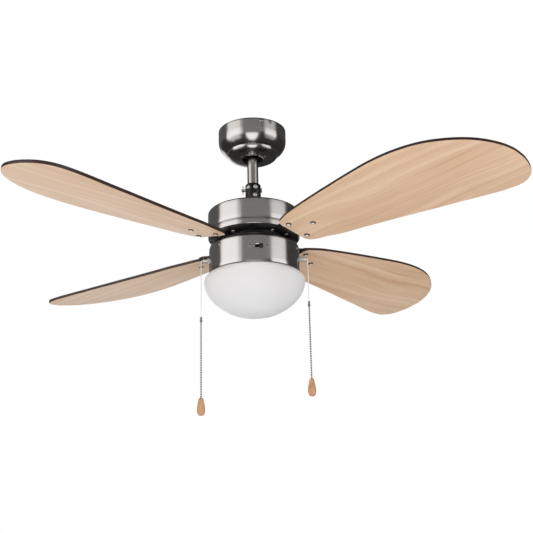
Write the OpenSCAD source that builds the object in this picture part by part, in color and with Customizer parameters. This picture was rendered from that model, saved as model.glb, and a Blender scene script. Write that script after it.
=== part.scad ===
// Ceiling fan with light: four wooden blades on a short downrod, a pull-chain
// switch housing and an opal glass bowl. Millimetres. +Z is up, and the ceiling
// is the plane z = 0, so every height below is negative.

/* [Blades] */
// Diameter swept by the blade tips
sweep_d = 1050; // [1040:1:1060]
// Azimuth of the first blade arm
arm_az = -46.5; // [-50:0.5:-40]
// Pitch of the blades, in degrees
blade_pitch = 11.6; // [10:0.1:13]
// Upward coning of the blades, in degrees
blade_cone = 1.9; // [1:0.1:2.5]
// Thickness of the blades
blade_t = 5.5; // [4.5:0.1:6]
// Height of the blade plane's lower face at the axis
blade_z = -230.3; // [-231:0.1:-229]

/* [Canopy and rod] */
// Outside diameter of the canopy
canopy_d = 124; // [123:0.5:126]
// Outside diameter of the downrod
rod_d = 20; // [19:0.5:21]
// Distance between the two ceiling screws
ceiling_hole_gap = 76; // [70:1:84]
// Diameter of the ceiling screw holes
ceiling_hole_d = 5.5; // [4.5:0.5:6.5]

/* [Housings] */
// Outside diameter of the motor housing
motor_d = 163.6; // [163:0.2:166]
// Outside diameter of the switch housing
switch_d = 160; // [159.6:0.2:161]

/* [Glass bowl] */
// Widest diameter of the glass bowl
bowl_d = 178; // [174:1:184]
// Height of the bowl's lowest point
bowl_z = -354.5; // [-358:0.5:-352]
// Wall thickness of the bowl
bowl_t = 2.5; // [2:0.5:3]

/* [Pull cords] */
// Length of the fan cord's string, from its bend to the connector
fan_string_l = 75; // [60:1:90]
// Length of the light cord's string, from its bend to the connector
light_string_l = 100.5; // [80:0.5:120]
// Diameter of the pull strings
string_d = 1.6; // [1.4:0.1:1.8]
// Number of beads on the fan chain
fan_beads = 31; // [20:1:40]
// Number of beads on the light chain
light_beads = 32; // [20:1:40]

/* [Hidden] */

fnr = 96;                       // facets of the large turned shells
fns = 32;                       // facets of small round pieces

rod_r = rod_d / 2;
canopy_r = canopy_d / 2;
motor_r = motor_d / 2;
switch_r = switch_d / 2;
sheet_t = 1.2;                  // pressed sheet of canopy and housings

ball_z = -30;                   // centre of the hanger ball
ball_r = 17.5;
rod_top = -18;
rod_end = -128;
coup_top = -106;
pin_z = -117;
coup_r = 14;
house_top = -163;
house_bot = -212;
shaft_r = 7.5;
shaft_bore = 4.5;
race_tops = [-172, -199.5];       // tops of the two bearings
race_h = 11;
plate_z = -236;                 // upper face of the switch plate
cord_z = -251;                  // height of the cord outlets
cord_x = 94.5;                  // where the strings hang
rim_z = -280;                   // lower rim of the switch housing
pan_z = -264;                   // upper face of the lamp pan
rev_az = -84.2;                 // azimuth of the reverse switch
rev_z = -253;

// Small differences in how far each blade iron is bent, in degrees: [pitch, coning]
blade_trim = [[-0.5, 0.9], [0.2, 0.3], [-0.3, -0.1], [0.8, -1.9]];
blade_holes = [[110, 22.5], [110, -22.5], [146, 0]];

// ---- geometry helpers ----

function unit(v) = v / norm(v);

// Catmull-Rom curve through p, n steps per span
function cr(p, n) = [
  for (i = [0 : len(p) - 2])
    let (a = p[max(i - 1, 0)], b = p[i], c = p[i + 1], d = p[min(i + 2, len(p) - 1)])
      for (k = [0 : n - 1])
        let (t = k / n)
          0.5 * ((2 * b) + (c - a) * t + (2 * a - 5 * b + 4 * c - d) * t * t + (3 * b - a - 3 * c + d) * t * t * t),
  p[len(p) - 1]
];

// The curve moved sideways by t, towards the inside of a downward profile
function side(p, t) = [
  for (i = [0 : len(p) - 1])
    let (d = unit(p[min(i + 1, len(p) - 1)] - p[max(i - 1, 0)]))
      [max(0, p[i][0] + t * d[1]), p[i][1] - t * d[0]]
];

function rev_list(p) = [for (i = [len(p) - 1 : -1 : 0]) p[i]];

function arc(cx, cz, r, a0, a1, n) = [
  for (i = [0 : n]) let (a = a0 + (a1 - a0) * i / n) [cx + r * cos(a), cz + r * sin(a)]
];

module turn(p, fn = fnr) rotate_extrude($fn = fn) polygon(p);

// A thin turned shell with outer profile p
module shell(p, t) turn(concat(p, rev_list(side(p, t))));

module ring(ro, ri, z, h, fn = fnr)
  translate([0, 0, z]) difference() {
    cylinder(r = ro, h = h, $fn = fn);
    translate([0, 0, -1]) cylinder(r = ri, h = h + 2, $fn = fn);
  }

// Places children at radius r, azimuth a and height z, with +X pointing outward
module at(a, r, z) rotate([0, 0, a]) translate([r, 0, z]) children();

// Pan-head screw: the head's seat is the plane z = 0 and the shank runs to -l
module pan_screw(head_r, head_h, shank_r, l) {
  rotate_extrude($fn = fns)
    polygon(concat([[0, 0], [head_r, 0]], [for (a = [15 : 15 : 90]) [head_r * cos(a), head_h * sin(a)]]));
  translate([0, 0, -l]) cylinder(r = shank_r, h = l + 0.2, $fn = 24);
}

// Blade frame: x outward along the arm, y along the rotation, z = 0 is the lower face
module on_blade(k)
  rotate([0, 0, arm_az + 90 * k]) translate([0, 0, blade_z])
    rotate([0, -(blade_cone + blade_trim[k][1]), 0])
      rotate([-(blade_pitch + blade_trim[k][0]), 0, 0]) children();

// Tube of radius r swept along the points p, with 8 sides
module tube(p, r) {
  n = len(p);
  ns = 8;
  pts = [
    for (i = [0 : n - 1])
      let (d = unit(p[min(i + 1, n - 1)] - p[max(i - 1, 0)]), u = [0, 1, 0], w = cross(d, u))
        for (j = [0 : ns - 1]) p[i] + r * (cos(360 * j / ns) * u + sin(360 * j / ns) * w)
  ];
  faces = concat(
    [[for (j = [0 : ns - 1]) j]],
    [for (i = [0 : n - 2]) for (j = [0 : ns - 1])
      [i * ns + j, (i + 1) * ns + j, (i + 1) * ns + (j + 1) % ns, i * ns + (j + 1) % ns]],
    [[for (j = [ns - 1 : -1 : 0]) (n - 1) * ns + j]]
  );
  polyhedron(points = pts, faces = faces, convexity = 4);
}

// ---- ceiling mount ----

bracket_ear_az = [-66, 114];

module hanger_bracket() color("silver") difference() {
  union() {
    translate([0, 0, -2.5]) cylinder(r = 54, h = 2.5, $fn = fnr);
    for (a = bracket_ear_az) rotate([0, 0, a - 15])
      rotate_extrude(angle = 30, $fn = fnr)
        polygon([[50, 0], [canopy_r - 2.4, 0], [canopy_r - 2.4, -12], [canopy_r - 4.4, -12], [canopy_r - 4.4, -2.5], [50, -2.5]]);
    for (s = [-1, 1]) translate([s * 27 - 1.25, -13, -42.5]) cube([2.5, 26, 41]);
    translate([-28.25, -16, -42.5]) cube([56.5, 32, 2.5]);
    translate([0, 0, -42.5]) cylinder(r = 20.5, h = 9.5, $fn = 64);
  }
  translate([0, 0, ball_z]) sphere(r = ball_r + 0.06, $fn = 64);
  translate([0, 0, -50]) cylinder(r = 15, h = 20, $fn = 64);
  for (s = [-1, 1]) translate([s * ceiling_hole_gap / 2, 0, -3]) cylinder(r = ceiling_hole_d / 2, h = 4, $fn = fns);
  translate([0, 36, -3]) cylinder(r = 8, h = 4, $fn = fns);
  for (a = bracket_ear_az) for (s = [-7.9, 7.9])
    at(a + s, canopy_r - 6, -5.5) rotate([0, 90, 0]) cylinder(r = 1.8, h = 5, $fn = 24);
}

canopy_pts = concat(
  [[canopy_r, -0.5], [canopy_r, -8], [canopy_r, -16]],
  cr([[canopy_r, -21], [canopy_r - 1.2, -29], [canopy_r - 5.5, -37], [canopy_r - 11, -42], [canopy_r - 15.5, -44.2]], 4),
  cr([[canopy_r - 15.3, -44.8], [canopy_r - 15.7, -47.2], [canopy_r - 17.6, -50.4], [canopy_r - 21.6, -53.2], [canopy_r - 27.5, -54.9], [canopy_r - 34, -55.5]], 3),
  [[24, -55.5], [19, -55.5]]);

module canopy() color("silver") difference() {
  shell(canopy_pts, sheet_t);
  for (a = bracket_ear_az) for (s = [-7.9, 7.9])
    at(a + s, canopy_r - 4, -5.5) rotate([0, 90, 0]) cylinder(r = 2.2, h = 8, $fn = 24);
  // cable-clamp and knock-out holes in the flat bottom
  for (a = [-118, -62, -147, -33, 90]) at(a, 24.6, -58) cylinder(r = 1.6, h = 5, $fn = 24);
}

module canopy_screws() color("silver")
  for (a = bracket_ear_az) for (s = [-7.9, 7.9])
    at(a + s, canopy_r + 0.02, -5.5) rotate([0, 90, 0]) pan_screw(3.4, 2, 1.75, 6);

module terminal_block() color("ivory") difference() {
  translate([-14, -42, -12.5]) cube([28, 12, 10]);
  for (x = [-9, 0, 9]) {
    translate([x, -50, -8.5]) rotate([-90, 0, 0]) cylinder(r = 1.8, h = 30, $fn = 24);
    translate([x, -36, -14]) cylinder(r = 1.6, h = 5, $fn = 24);
  }
}

// ---- ball joint, rod and coupling ----

module hanger_pin() color("gray")
  translate([0, -14.5, ball_z]) rotate([-90, 0, 0]) cylinder(r = 2.5, h = 29, $fn = fns);

module pin_bore() translate([0, -30, ball_z]) rotate([-90, 0, 0]) cylinder(r = 2.55, h = 60, $fn = fns);

module hanger_ball() color("black") difference() {
  translate([0, 0, ball_z]) sphere(r = ball_r, $fn = 64);
  translate([0, 0, rod_top]) cylinder(r = 30, h = 20, $fn = fns);
  translate([0, 0, -60]) cylinder(r = rod_r, h = 60, $fn = 64);
  pin_bore();
}

module downrod() color("silver") difference() {
  ring(rod_r, rod_r - 1.6, rod_end, rod_top - rod_end, 64);
  pin_bore();
  translate([-20, 0, pin_z]) rotate([0, 90, 0]) cylinder(r = 2.6, h = 40, $fn = fns);
}

coup_screw_pos = [[-127, -115], [-72, -115], [-76, -131]];

module coupling() color("black") difference() {
  turn([[rod_r, coup_top], [12, coup_top], [coup_r, coup_top - 2.5], [coup_r, house_top - 1.2], [30, house_top - 1.2],
        [30, house_top - 5.2], [shaft_r, house_top - 5.2], [shaft_r, -130], [rod_r, -130]]);
  translate([-20, 0, pin_z]) rotate([0, 90, 0]) cylinder(r = 2.6, h = 40, $fn = fns);
  for (p = coup_screw_pos) at(p[0], 0, p[1]) rotate([0, 90, 0]) cylinder(r = 1.9, h = 20, $fn = 24);
  for (a = [30, 150, 270]) at(a, 23, house_top - 8) cylinder(r = 1.9, h = 10, $fn = 24);
}

module coupling_screws() color("silver")
  for (p = coup_screw_pos) at(p[0], coup_r + 0.05, p[1]) rotate([0, 90, 0])
    pan_screw(3.9, 2.6, 1.85, p[1] > -120 ? coup_r - rod_r : 6);

module clevis_pin() color("silver") difference() {
  union() {
    translate([-21, 0, pin_z]) rotate([0, 90, 0]) cylinder(r = 2.5, h = 35.5, $fn = fns);
    translate([14.2, 0, pin_z]) rotate([0, 90, 0]) cylinder(r = 4.2, h = 2, $fn = fns);
  }
  translate([-18.4, 0, pin_z - 4]) cylinder(r = 0.9, h = 8, $fn = 24);
}

// Wire clip through the end of the clevis pin
module hairpin_clip() color("silver") {
  translate([-18.4, 0, pin_z - 7]) cylinder(r = 0.8, h = 13, $fn = 20);
  translate([-18.4, 0, pin_z - 7]) sphere(r = 0.8, $fn = 20);
  translate([-18.4, 3.4, pin_z + 6]) rotate([0, 0, 0]) rotate([90, 0, 90])
    rotate_extrude(angle = 180, $fn = 32) translate([3.4, 0]) circle(r = 0.8, $fn = 20);
  translate([-18.4, 6.8, pin_z - 3]) cylinder(r = 0.8, h = 9, $fn = 20);
  translate([-18.4, 6.8, pin_z - 3]) sphere(r = 0.8, $fn = 20);
}

// ---- motor ----

module motor_housing() color("silver") difference() {
  turn([[coup_r + 0.4, house_top], [motor_r - 3, house_top], [motor_r - 0.9, house_top - 0.9], [motor_r, house_top - 3],
        [motor_r, -199.4], [motor_r - 0.7, -200.2], [motor_r, -201], [motor_r, house_bot + 1.2], [motor_r - 0.5, house_bot],
        [motor_r - sheet_t - 0.4, house_bot], [motor_r - sheet_t - 0.4, house_top - 3.4], [motor_r - 3.2, house_top - sheet_t],
        [coup_r + 0.4, house_top - sheet_t]]);
  for (a = [30, 150, 270]) at(a, 23, house_top - 3) cylinder(r = 2.2, h = 5, $fn = 24);
}

side_screw_az = [-139, -19, 101];

// Three screws hold the housing to the coupling and three the switch housing to its plate
module housing_screws_m4() color("silver") {
  for (a = [30, 150, 270]) at(a, 23, house_top + 0.02) pan_screw(3.6, 2.2, 1.85, 5.2);
  for (a = side_screw_az) at(a, switch_r + 0.02, -239.5) rotate([0, 90, 0]) pan_screw(3.2, 2, 1.85, 3.6);
}

module motor_shaft() color("gainsboro") ring(shaft_r, shaft_bore, -246, 115, 48);

module stator_core() color("dimgray") difference() {
  ring(54, shaft_r, -199, 13);
  for (k = [0 : 15]) rotate([0, 0, 22.5 * k]) {
    translate([30, -3, -200]) cube([18, 6, 15]);
    translate([47, -1.2, -200]) cube([10, 2.4, 15]);
  }
}

module stator_windings() color("peru") {
  turn([[28, -186], [28, -182], [31, -179.5], [45, -179.5], [48, -182], [48, -186]]);
  turn([[28, -199], [28, -203.4], [30.4, -205.4], [45.6, -205.4], [48, -203.4], [48, -199]]);
}

module bearing_inner_races() color("lightgray")
  for (z = race_tops) ring(10.2, shaft_r, z - race_h, race_h, 48);

module bearing_outer_races() color("lightgray")
  for (z = race_tops) ring(17.5, 14.8, z - race_h, race_h, 48);

module bearing_balls() color("white")
  for (z = race_tops) for (k = [0 : 8]) at(40 * k, 12.5, z - race_h / 2) sphere(r = 2.25, $fn = 24);

module rotor_upper_shell() color("dimgray")
  turn([[17.5, -171.2], [21, -171.2], [21, -173], [71, -173], [74, -176], [74, -192], [70.6, -192],
        [70.6, -177], [69, -176], [21, -176], [21, -184], [15.5, -184], [15.5, -183], [17.5, -183]]);

module rotor_lower_shell() color("black") difference() {
  turn([[70.6, -192], [74, -192], [74, -206.5], [75, -207.5], [75, -212.5], [11.5, -212.5], [11.5, -210.7], [17.5, -210.7],
        [17.5, -199.5], [21, -199.5], [21, -207.5], [70.6, -207.5]]);
  for (k = [0 : 3]) for (s = [-14.5, 14.5]) at(arm_az + 90 * k + s, 67, -218.5) cylinder(r = 1.8, h = 12, $fn = 24);
}

module rotor_ring() color("silver") difference() {
  ring(70.6, 54.4, -204, 21);
  for (k = [0 : 23]) at(15 * k, 57.5, -207) cylinder(r = 1.2, h = 30, $fn = 16);
}

// ---- blade arms and blades ----

module blade_arm(k) color("black") difference() {
  union() {
    rotate([0, 0, arm_az + 90 * k - 42])
      rotate_extrude(angle = 84, $fn = fnr)
        polygon([[54, -212.56], [54, -215.5], [56, -216.5], [72.5, -216.5], [79.3, -213.4], [79.3, -209.3], [75.3, -209.3], [75.3, -212.56]]);
    hull() {
      rotate([0, 0, arm_az + 90 * k]) translate([75.5, -21, -216.2]) cube([3.2, 42, 3.1]);
      on_blade(k) translate([93.5, -24, blade_t + 0.4]) cube([2, 48, 2.5]);
    }
    on_blade(k) translate([0, 0, blade_t + 0.06]) {
      linear_extrude(height = 3.2)
        polygon([[92.5, -25], [92.5, 25], [106, 30], [116, 30], [153, 7], [153, -7], [116, -30], [106, -30]]);
      for (h = blade_holes) translate([h[0], h[1], 0.4]) cylinder(r = 8.5, h = 4, $fn = fns);
      // stiffening rib
      translate([99, -3, 1]) cube([45, 6, 4.4]);
    }
  }
  for (s = [-14.5, 14.5]) at(arm_az + 90 * k + s, 67, -218.5) cylinder(r = 2.2, h = 8, $fn = 24);
  on_blade(k) for (h = blade_holes) translate([h[0], h[1], -1]) cylinder(r = 1.8, h = 12, $fn = 24);
}

module blade_arm_1() blade_arm(0);
module blade_arm_2() blade_arm(1);
module blade_arm_3() blade_arm(2);
module blade_arm_4() blade_arm(3);

module arm_screws() color("silver")
  for (k = [0 : 3]) for (s = [-14.5, 14.5])
    at(arm_az + 90 * k + s, 67, -216.52) rotate([180, 0, 0]) pan_screw(3.6, 2.3, 1.75, 7.6);

// Outline of one blade, counter-clockwise from the root
edge_lead = [[97, 30], [103, 38], [115, 43.5], [134, 48], [165, 57], [203, 64], [245, 72.5], [290, 82], [336, 92],
             [380, 101], [420, 110], [455, 116], [480, 116.5], [497, 110], [509, 98], [517, 80], [521, 62]];
edge_trail = [[521, 62], [520, 34], [509, 5], [488, -23], [458, -46], [422, -63], [379, -72], [333, -73.5], [286, -69.5],
              [240, -64], [198, -58.5], [162, -53], [133, -48], [115, -42.5], [102, -37], [97, -28]];
ks = sweep_d / 1050;

function blade_outline() = [for (p = concat(cr(rev_list(edge_trail), 3), cr(rev_list(edge_lead), 3))) [p[0] < 150 ? p[0] : 150 + (p[0] - 150) * (ks * 521 - 150) / 371, p[1]]];

module blade(k) color("burlywood") on_blade(k) difference() {
  linear_extrude(height = blade_t) polygon(blade_outline());
  for (h = blade_holes) translate([h[0], h[1], -1]) cylinder(r = 2.4, h = blade_t + 2, $fn = 24);
}

module blade_1() blade(0);
module blade_2() blade(1);
module blade_3() blade(2);
module blade_4() blade(3);

module blade_screws() color("silver")
  for (k = [0 : 3]) on_blade(k) for (h = blade_holes)
    translate([h[0], h[1], -0.02]) rotate([180, 0, 0]) pan_screw(4.8, 2.3, 1.75, 9.8);

// ---- switch housing ----

module switch_plate() color("dimgray") difference() {
  turn([[shaft_r, plate_z], [switch_r - 4, plate_z], [switch_r - 1.5, plate_z - 2.6], [switch_r - 1.5, -247],
        [switch_r - 3, -247], [switch_r - 3, -239], [switch_r - 4.6, plate_z - 2], [shaft_r, plate_z - 2]]);
  for (a = side_screw_az) at(a, 70, -239.5) rotate([0, 90, 0]) cylinder(r = 1.9, h = 14, $fn = 24);
  for (k = [0 : 3]) at(45 + 90 * k, 64, -240) cylinder(r = 1.4, h = 6, $fn = 24);
}

module shaft_nut() color("gray") difference() {
  translate([0, 0, -244]) cylinder(r = 12.7, h = 6, $fn = 6);
  translate([0, 0, -246]) cylinder(r = shaft_r, h = 12, $fn = 48);
}

housing_pts = concat(arc(switch_r - 12, -235, 12, 90, 0, 8), [[switch_r, -242], [switch_r, -260], [switch_r, rim_z]]);

module switch_housing() color("silver") difference() {
  shell(housing_pts, sheet_t);
  at(rev_az, switch_r - 5, rev_z) translate([0, -6.3, -2.9]) cube([10, 12.6, 5.8]);
  for (s = [-10.75, 10.75]) at(rev_az + s, switch_r - 5, rev_z) rotate([0, 90, 0]) cylinder(r = 1.6, h = 10, $fn = 24);
  for (a = [0, 180]) at(a, switch_r - 5, cord_z) rotate([0, 90, 0]) cylinder(r = 3.3, h = 10, $fn = 24);
  for (a = side_screw_az) at(a, switch_r - 5, -239.5) rotate([0, 90, 0]) cylinder(r = 2.1, h = 10, $fn = 24);
}

module cord_outlets() color("gainsboro")
  for (a = [0, 180]) rotate([0, 0, a]) translate([0, 0, cord_z]) rotate([0, 90, 0]) difference() {
    union() {
      translate([0, 0, 73.2]) cylinder(r = 3.2, h = 17.8, $fn = fns);
      translate([0, 0, switch_r + 0.1]) cylinder(r = 5.4, h = 3, $fn = 6);
      translate([0, 0, 88.5]) cylinder(r = 3.7, h = 2.5, $fn = fns);
    }
    translate([0, 0, 70]) cylinder(r = 1.5, h = 24, $fn = 24);
  }

// Pull switch body, with its drum pocket open below; the cord enters from +X
module pull_switch() difference() {
  union() {
    translate([43, -19, -261]) cube([30, 26, 20]);
    translate([43, -23, -243]) cube([12, 34, 2]);
  }
  difference() {
    translate([57, -7.6, -262]) cylinder(r = 10.6, h = 15, $fn = 48);
    translate([57, -7.6, -263]) cylinder(r = 2, h = 20, $fn = 24);
  }
  translate([56, 0, cord_z]) rotate([0, 90, 0]) cylinder(r = 1.5, h = 20, $fn = 24);
}

module speed_switch() color("ivory") pull_switch();
module light_switch() color("ivory") rotate([0, 0, 180]) pull_switch();

// Cam drum: a grooved wheel with a boss that carries the moving contact
module drum() translate([57, -7.6, 0]) {
  difference() {
    union() {
      rotate_extrude($fn = 48) polygon([[2.05, -247.8], [9.6, -247.8], [9.6, -249.6], [7.2, -250.2], [7.2, -251.8], [9.6, -252.4], [9.6, -255], [6, -255], [6, -259], [2.05, -259]]);
    }
    rotate([0, 0, 90]) translate([4, -1.5, -262]) cube([3, 3, 6]);
  }
}

module speed_drum() color("white") drum();
module light_drum() color("white") rotate([0, 0, 180]) drum();

module capacitor() color("black") {
  translate([-18, 36, -258]) cube([36, 18, 20]);
}

module reverse_switch() color("dimgray") at(rev_az, 0, rev_z) difference() {
  union() {
    translate([62, -12, -6]) cube([13.5, 24, 12]);
    translate([74.3, -19, -4]) cube([1.7, 38, 8]);
  }
  translate([69.4, -7.6, -3.9]) cube([10, 15.2, 7.8]);
  for (s = [-10.75, 10.75]) rotate([0, 0, s]) translate([70, 0, 0]) rotate([0, 90, 0]) cylinder(r = 1.3, h = 10, $fn = 24);
}

module reverse_slider() color("black") at(rev_az, 0, rev_z) {
  translate([70, 0.2, -3.5]) cube([3, 7, 7]);
  translate([72.5, 1.4, -2.3]) cube([9.2, 4.6, 4.6]);
  translate([switch_r + 0.6, 0.9, -3.4]) cube([2.6, 6, 6.8]);
  for (z = [-2.2, 0, 2.2]) translate([switch_r + 3.1, 0.9, z - 0.4]) cube([0.5, 6, 0.8]);
}

// Four screws hold the lamp pan and two the reverse switch
module housing_screws_m3() color("silver") {
  for (k = [0 : 3]) at(45 + 90 * k, 64, pan_z - 1.22) rotate([180, 0, 0]) pan_screw(2.8, 1.8, 1.35, 8);
  for (s = [-10.75, 10.75]) at(rev_az + s, switch_r + 0.02, rev_z) rotate([0, 90, 0]) pan_screw(2.4, 1.4, 1.25, 5.6);
}

module standoffs() color("gainsboro")
  for (k = [0 : 3]) at(45 + 90 * k, 64, pan_z) difference() {
    cylinder(r = 4, h = 26, $fn = 6);
    translate([0, 0, -1]) cylinder(r = 1.4, h = 28, $fn = 24);
  }

// ---- lamp ----

tab_r = switch_r - 6.2;

module lamp_pan() color("white") {
  difference() {
    turn([[20.2, pan_z], [switch_r - 1.4, pan_z], [switch_r - 1.4, -279], [switch_r - 2.6, -279], [switch_r - 2.6, pan_z - sheet_t], [20.2, pan_z - sheet_t]]);
    for (k = [0 : 3]) at(45 + 90 * k, 64, -270) cylinder(r = 1.7, h = 12, $fn = 24);
  }
  for (a = [19, 139, 259]) rotate([0, 0, a])
    rotate_extrude(angle = 22, $fn = fnr) polygon([[tab_r, -275.4], [switch_r - 2.5, -275.4], [switch_r - 2.5, -276.6], [tab_r, -276.6]]);
}

module lamp_holder() color("white")
  turn([[19.8, -248], [19.8, -262], [24, -262], [24, pan_z], [19.9, pan_z], [19.5, -283], [14.2, -283], [14.2, -251], [6, -251], [6, -248]], 64);

module bulb_base() color("silver")
  turn(concat([[0, -252.2], [4.5, -252.2], [6, -253.6], [11.4, -255]],
    [for (i = [0 : 28]) [12.5 + 0.6 * sin(i * 90 - 90), -256 - i * 0.875]],
    [[13.2, -281.5], [13.2, -284], [0, -284]]), 48);

bulb_pts = cr([[12.6, -284.1], [13, -289], [16.5, -297], [20.5, -305], [22.4, -313], [22.2, -321], [19.4, -330], [13.5, -337], [6.5, -340.4], [0, -341]], 3);

module bulb_glass() color("white")
  turn(concat([[0, -284.1]], bulb_pts), 48);

lug_r = switch_r - 3.2;
neck_r = tab_r - 0.6;
bowl_r = bowl_d / 2;
bowl_pts = concat(
  [[neck_r, -270], [neck_r, -275], [neck_r, -279]],
  cr([[neck_r + 0.6, -280.6], [neck_r + 2.6, -281.5], [bowl_r - 9, -281.8], [bowl_r - 4.6, -284], [bowl_r - 1.6, -287.4], [bowl_r - 0.3, -291], [bowl_r, -294],
      [bowl_r - 0.9, -300], [bowl_r - 3.9, -309], [bowl_r - 9.6, -319], [bowl_r - 18.8, -329], [bowl_r - 32, -339.2], [bowl_r - 48, -347.8],
      [bowl_r - 68, bowl_z + 1.2], [0, bowl_z]], 3));

module glass_shade() color("whitesmoke", 0.9) {
  shell(bowl_pts, bowl_t);
  for (a = [21, 141, 261]) rotate([0, 0, a])
    rotate_extrude(angle = 18, $fn = fnr) polygon([[neck_r - 1, -271.4], [lug_r, -271.4], [lug_r, -274.8], [neck_r - 1, -274.8]]);
}

// ---- pull cords ----

// Route of a string, in the XZ plane: out of the outlet, round a 3.2 mm bend, then straight down
function string_route(l) = concat(
  [[84, 0, cord_z], [88, 0, cord_z]],
  [for (a = [90 : -15 : 0]) [cord_x - 3.2 + 3.2 * cos(a), 0, cord_z - 3.2 + 3.2 * sin(a)]],
  [for (i = [1 : 16]) [cord_x, 0, cord_z - 3.2 - l * i / 16]]);

bead_r = 1.6;
bead_gap = 4.2;

function conn_top(l) = cord_z - 3.2 - l;

module connector(l) translate([cord_x, 0, conn_top(l) - 8.4])
  rotate_extrude($fn = fns) polygon([[0, 8.4], [1.4, 8.4], [1.9, 7.6], [2, 5.2], [1.5, 4.4], [1.5, 3.8], [2.3, 2.8], [2.5, 0.8], [2, 0], [0, 0]]);

// Bead chain: beads joined by thin links, with a link into the connector and one into the knob
module chain(l, n) translate([cord_x, 0, conn_top(l) - 8.4])
  rotate_extrude($fn = 20) polygon(concat([[0, 0]],
    [for (i = [0 : n - 1]) for (a = [72, 36, 0, -36, -72]) [bead_r * cos(a), -2.1 - bead_gap * i + bead_r * sin(a)]],
    [[0.5, -bead_gap * n], [0, -bead_gap * n]]));

module knob(l, n) translate([cord_x, 0, conn_top(l) - 8.4 - bead_gap * n])
  rotate_extrude($fn = 48) polygon(concat([[0, 0]],
    cr([[2.6, 0], [3.6, -0.9], [4.7, -5], [5.8, -10.5], [6.6, -16], [6.9, -21], [6.4, -25.5], [5, -28.6], [3, -30.2]], 3),
    [[0, -30.5]]));

module fan_string() color("white") tube(string_route(fan_string_l), string_d / 2);
module fan_connector() color("silver") connector(fan_string_l);
module fan_chain() color("gray") chain(fan_string_l, fan_beads);
module fan_knob() color("tan") knob(fan_string_l, fan_beads);

module light_string() color("white") rotate([0, 0, 180]) tube(string_route(light_string_l), string_d / 2);
module light_connector() color("silver") rotate([0, 0, 180]) connector(light_string_l);
module light_chain() color("gray") rotate([0, 0, 180]) chain(light_string_l, light_beads);
module light_knob() color("tan") rotate([0, 0, 180]) knob(light_string_l, light_beads);

hanger_bracket();
canopy();
canopy_screws();
terminal_block();
hanger_pin();
hanger_ball();
downrod();
coupling();
coupling_screws();
clevis_pin();
hairpin_clip();
motor_housing();
housing_screws_m4();
motor_shaft();
stator_core();
stator_windings();
bearing_inner_races();
switch_plate();
shaft_nut();
switch_housing();
housing_screws_m3();
speed_switch();
light_switch();
capacitor();
reverse_switch();
standoffs();
lamp_pan();
lamp_holder();
bulb_base();
bulb_glass();
cord_outlets();
rotor_upper_shell();
rotor_lower_shell();
rotor_ring();
bearing_outer_races();
bearing_balls();
blade_arm_1();
blade_arm_2();
blade_arm_3();
blade_arm_4();
arm_screws();
blade_1();
blade_2();
blade_3();
blade_4();
blade_screws();
fan_string();
fan_connector();
fan_chain();
fan_knob();
light_string();
light_connector();
light_chain();
light_knob();
speed_drum();
light_drum();
reverse_slider();
glass_shade();
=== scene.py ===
import math

import bmesh
import bpy
import numpy as np
from mathutils import Matrix, Vector


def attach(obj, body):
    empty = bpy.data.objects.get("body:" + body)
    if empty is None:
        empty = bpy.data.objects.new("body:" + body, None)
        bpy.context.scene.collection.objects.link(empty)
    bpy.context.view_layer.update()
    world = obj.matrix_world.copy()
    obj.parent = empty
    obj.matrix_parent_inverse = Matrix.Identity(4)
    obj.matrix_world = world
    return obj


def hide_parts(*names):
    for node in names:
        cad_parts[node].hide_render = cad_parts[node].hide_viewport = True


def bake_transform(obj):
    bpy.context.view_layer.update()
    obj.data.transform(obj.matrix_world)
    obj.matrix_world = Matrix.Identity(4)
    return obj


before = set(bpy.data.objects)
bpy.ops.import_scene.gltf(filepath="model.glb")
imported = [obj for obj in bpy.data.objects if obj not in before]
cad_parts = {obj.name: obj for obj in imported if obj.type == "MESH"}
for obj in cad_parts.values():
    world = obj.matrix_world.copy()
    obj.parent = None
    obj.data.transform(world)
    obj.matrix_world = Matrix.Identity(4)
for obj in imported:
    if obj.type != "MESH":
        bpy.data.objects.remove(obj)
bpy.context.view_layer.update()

MM = 0.001
scene = bpy.context.scene
scene.view_settings.view_transform = "Standard"
scene.view_settings.look = "None"

# ---------------------------------------------------------------- camera

al, psi, rho = (math.radians(v) for v in (19.05, 0.72, -1.24))
fwd = Vector((math.sin(psi) * math.cos(al), math.cos(psi) * math.cos(al), math.sin(al)))
right = Vector((math.cos(psi), -math.sin(psi), 0))
up = right.cross(fwd)
r2 = math.cos(rho) * right + math.sin(rho) * up
u2 = -math.sin(rho) * right + math.cos(rho) * up
cam_data = bpy.data.cameras.new("camera")
cam_data.sensor_width = 36
cam_data.lens = 68.66
cam_data.clip_start = 0.05
cam_data.clip_end = 60
cam = bpy.data.objects.new("camera", cam_data)
scene.collection.objects.link(cam)
m = Matrix((r2, u2, -fwd)).transposed().to_4x4()
m.translation = Vector((0, -1.7039, -0.852))
cam.matrix_world = m
scene.camera = cam

# ---------------------------------------------------------------- dimensions shared with the CAD (mm)

HOUSE_TOP, HOUSE_BOT = -163.0, -212.0
CORD_Z, CORD_X = -251.0, 94.5
RIM_Z = -280.0
CANOPY_R, MOTOR_R, SWITCH_R, COUP_R, ROD_R = 62.0, 81.8, 80.0, 14.0, 10.0
ARM_AZ, BLADE_Z, BLADE_T = -46.5, -230.3, 5.5
PITCH, CONE = 11.6, 1.9
TRIM = [(-0.5, 0.9), (0.2, 0.3), (-0.3, -0.1), (0.8, -1.9)]
HOLES = [(110, 22.5), (110, -22.5), (146, 0)]
REV_AZ, REV_Z = -84.2, -253.0
EARS = [-66, 114]
SIDE_AZ = [-139, -19, 101]
COUP_SCREWS = [(-127, -115), (-72, -115), (-76, -131)]
PAN_Z = -264.0
FAN_L, LIGHT_L = 75.0, 100.5
FAN_BEADS, LIGHT_BEADS = 31, 32
BEAD_GAP = 4.2


# ---------------------------------------------------------------- node helpers

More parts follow.
